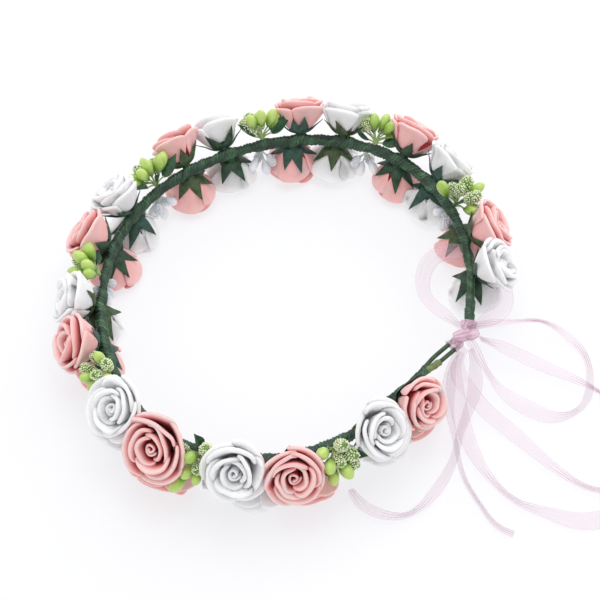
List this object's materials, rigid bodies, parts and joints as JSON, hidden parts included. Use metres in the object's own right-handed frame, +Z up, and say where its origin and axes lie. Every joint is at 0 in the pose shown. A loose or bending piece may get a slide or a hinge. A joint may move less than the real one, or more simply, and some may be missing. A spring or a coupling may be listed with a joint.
{
  "type": "flower crown",
  "caption": "Ring headband of tape-bound wire set with two rows of foam roses and bud sprigs, its open ends tied at the back with sheer ribbon.",
  "frame": {"origin": "on the surface the crown rests on, below the middle of its box with the ribbon left out", "axes": "+Z up; -Y is the front of the head; the tie is at +Y, the back; +X is the wearer's left"},
  "size_m": [0.2376, 0.3085, 0.044],
  "materials": {
    "white_foam": "soft matte polyethylene foam sheet",
    "pink_foam": "soft matte polyethylene foam sheet, deeper in the folds",
    "green_bud": "glossy drop buds and sugar-beaded balls",
    "white_bud": "frosted drop buds",
    "floral_tape": "waxed crepe paper tape, wound on the slant",
    "green_wire": "green paper-covered steel wire",
    "organza": "sheer organza with a fine selvage"
  },
  "bodies": {
    "root": {"core_wire": "green_wire", "tape_wrap": "floral_tape", "ribbon_bow": "organza", "ribbon_tail_1": "organza", "ribbon_tail_2": "organza", "ribbon_tail_3": "organza", "ribbon_tail_4": "organza", "ribbon_tail_5": "organza", "rose_upper_01_white": "white_foam", "rose_upper_02_pink": "pink_foam", "rose_upper_03_white": "white_foam", "rose_upper_04_pink": "pink_foam", "rose_upper_05_white": "white_foam", "rose_upper_06_pink": "pink_foam", "rose_upper_07_white": "white_foam", "rose_upper_08_pink": "pink_foam", "rose_upper_09_white": "white_foam", "rose_upper_10_pink": "pink_foam", "rose_upper_11_white": "white_foam", "rose_upper_12_pink": "pink_foam", "rose_upper_13_white": "white_foam", "rose_upper_14_pink": "pink_foam", "rose_upper_15_white": "white_foam", "rose_upper_16_pink": "pink_foam", "rose_upper_17_white": "white_foam", "rose_upper_18_pink": "pink_foam", "rose_lower_01_white": "white_foam", "rose_lower_02_pink": "pink_foam", "rose_lower_03_white": "white_foam", "rose_lower_04_pink": "pink_foam", "rose_lower_05_white": "white_foam", "rose_lower_06_pink": "pink_foam", "rose_lower_07_white": "white_foam", "rose_lower_08_pink": "pink_foam", "rose_lower_09_white": "white_foam", "rose_lower_10_pink": "pink_foam", "rose_lower_11_white": "white_foam", "rose_lower_12_pink": "pink_foam", "rose_lower_13_white": "white_foam", "rose_lower_14_pink": "pink_foam", "rose_lower_15_white": "white_foam", "rose_lower_16_pink": "pink_foam", "rose_lower_17_white": "white_foam", "rose_lower_18_pink": "pink_foam", "sprig_green_1": "green_bud", "sprig_green_2": "green_bud", "sprig_green_3": "green_bud", "sprig_green_4": "green_bud", "sprig_green_5": "green_bud", "sprig_green_6": "green_bud", "sprig_green_7": "green_bud", "sprig_green_8": "green_bud", "sprig_white_1": "white_bud", "sprig_white_2": "white_bud", "sprig_white_3": "white_bud", "sprig_white_4": "white_bud", "sprig_white_5": "white_bud", "sprig_white_6": "white_bud", "sprig_white_7": "white_bud", "sprig_white_8": "white_bud"}
  },
  "joints": []
}
